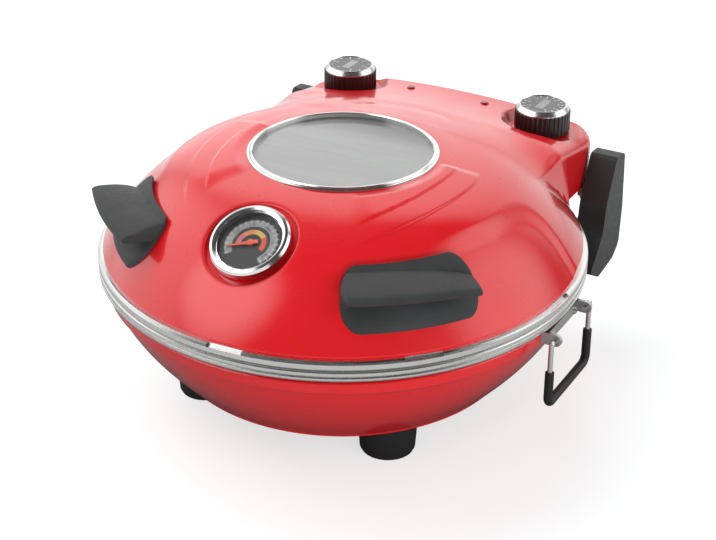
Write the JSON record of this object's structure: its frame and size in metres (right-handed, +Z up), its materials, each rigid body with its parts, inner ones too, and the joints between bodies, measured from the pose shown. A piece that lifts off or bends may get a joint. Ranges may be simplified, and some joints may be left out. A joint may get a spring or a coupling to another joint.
{
  "type": "electric pizza maker",
  "caption": "Countertop clamshell pizza oven: red domed lid with window, thermometer and knobs, steel rims, stone base, swing bails.",
  "frame": {"origin": "centre of the bounding box, on the table under the feet", "axes": "+Z up, -Y towards the front where the thermometer is, +Y towards the hinge, +X to the right seen from the front"},
  "size_m": [0.375, 0.371, 0.188],
  "materials": {
    "red_paint": "glossy baked enamel, red",
    "rim_steel": "bright rolled stainless steel",
    "pan_steel": "aluminised sheet steel",
    "stone": "matt cordierite baking stone",
    "element_steel": "dark oxidised sheathed heating element",
    "porcelain": "white glazed porcelain",
    "black_plastic": "black heat-resistant moulded plastic",
    "handle_plastic": "dark grey satin moulded plastic",
    "fastener_steel": "zinc-plated steel",
    "wire_steel": "plated steel wire",
    "bezel_steel": "polished stainless steel",
    "pane": "clear tempered glass",
    "dial_face": "matt black printed dial",
    "needle_paint": "painted pointer",
    "knob_plastic": "black fluted plastic",
    "knob_metal": "turned aluminium trim",
    "switch_body": "phenolic switch body",
    "lamp_lens": "dark red lamp lens"
  },
  "bodies": {
    "base": {"base_bowl": "red_paint", "base_rim": "rim_steel", "base_pan": "pan_steel", "baking_stone": "stone", "lower_element": "element_steel", "lower_element_clips": "fastener_steel", "lower_element_bushes": "porcelain", "foot_front_left": "black_plastic", "foot_front_right": "black_plastic", "foot_rear_left": "black_plastic", "foot_rear_right": "black_plastic", "foot_bolts": "fastener_steel", "power_gland": "black_plastic", "hinge_tower_left": "black_plastic", "hinge_tower_right": "black_plastic", "hinge_plate_left": "fastener_steel", "hinge_plate_right": "fastener_steel", "bail_bracket_left": "fastener_steel", "bail_bracket_right": "fastener_steel", "bail_rivets": "fastener_steel"},
    "lid": {"lid_shell": "red_paint", "lid_rim": "rim_steel", "lid_liner": "pan_steel", "upper_element": "element_steel", "upper_element_clips": "fastener_steel", "upper_element_bushes": "porcelain", "window_ring": "bezel_steel", "window_glass": "pane", "window_retainer": "fastener_steel", "window_sleeve": "pan_steel", "window_inner_glass": "pane", "console_cover": "pan_steel", "hinge_ear_left": "fastener_steel", "hinge_ear_right": "fastener_steel", "hinge_pin_left": "fastener_steel", "hinge_pin_right": "fastener_steel", "ear_screws": "fastener_steel", "handle_left": "handle_plastic", "handle_right": "handle_plastic", "handle_screws": "fastener_steel", "thermometer_case": "bezel_steel", "thermometer_dial": "dial_face", "thermometer_lens": "pane", "thermometer_stem": "fastener_steel", "thermometer_nut": "fastener_steel", "thermostat": "switch_body", "timer": "switch_body", "heat_lamp": "lamp_lens", "power_lamp": "lamp_lens"},
    "thermostat_control": {"thermostat_knob": "knob_plastic", "thermostat_knob_ring": "knob_metal", "thermostat_shaft": "fastener_steel"},
    "timer_control": {"timer_knob": "knob_plastic", "timer_knob_ring": "knob_metal", "timer_shaft": "fastener_steel"},
    "needle": {"thermometer_needle": "needle_paint"},
    "bail_left": {"bail_left": "wire_steel", "bail_sleeve_left": "black_plastic"},
    "bail_right": {"bail_right": "wire_steel", "bail_sleeve_right": "black_plastic"}
  },
  "joints": [
    {"name": "lid_hinge", "type": "hinge", "parent": "base", "child": "lid", "pos_m": [0, 0.178, 0.107], "axis": [-1, 0, 0], "range_deg": [0, 100]},
    {"name": "thermostat_turn", "type": "hinge", "parent": "lid", "child": "thermostat_control", "pos_m": [-0.086, 0.157, 0.1616], "axis": [0, 0, -1], "range_deg": [0, 270]},
    {"name": "timer_turn", "type": "hinge", "parent": "lid", "child": "timer_control", "pos_m": [0.086, 0.157, 0.1616], "axis": [0, 0, -1], "range_deg": [0, 300]},
    {"name": "needle_turn", "type": "hinge", "parent": "lid", "child": "needle", "pos_m": [0, -0.127, 0.1633], "axis": [0, 0.5, -0.866], "range_deg": [0, 230], "stiffness_Nm_per_rad": 0.002},
    {"name": "bail_left_swing", "type": "hinge", "parent": "base", "child": "bail_left", "pos_m": [-0.183, -0.005, 0.095], "axis": [0, 1, 0], "range_deg": [-30, 120]},
    {"name": "bail_right_swing", "type": "hinge", "parent": "base", "child": "bail_right", "pos_m": [0.183, -0.005, 0.095], "axis": [0, -1, 0], "range_deg": [-30, 120]}
  ]
}
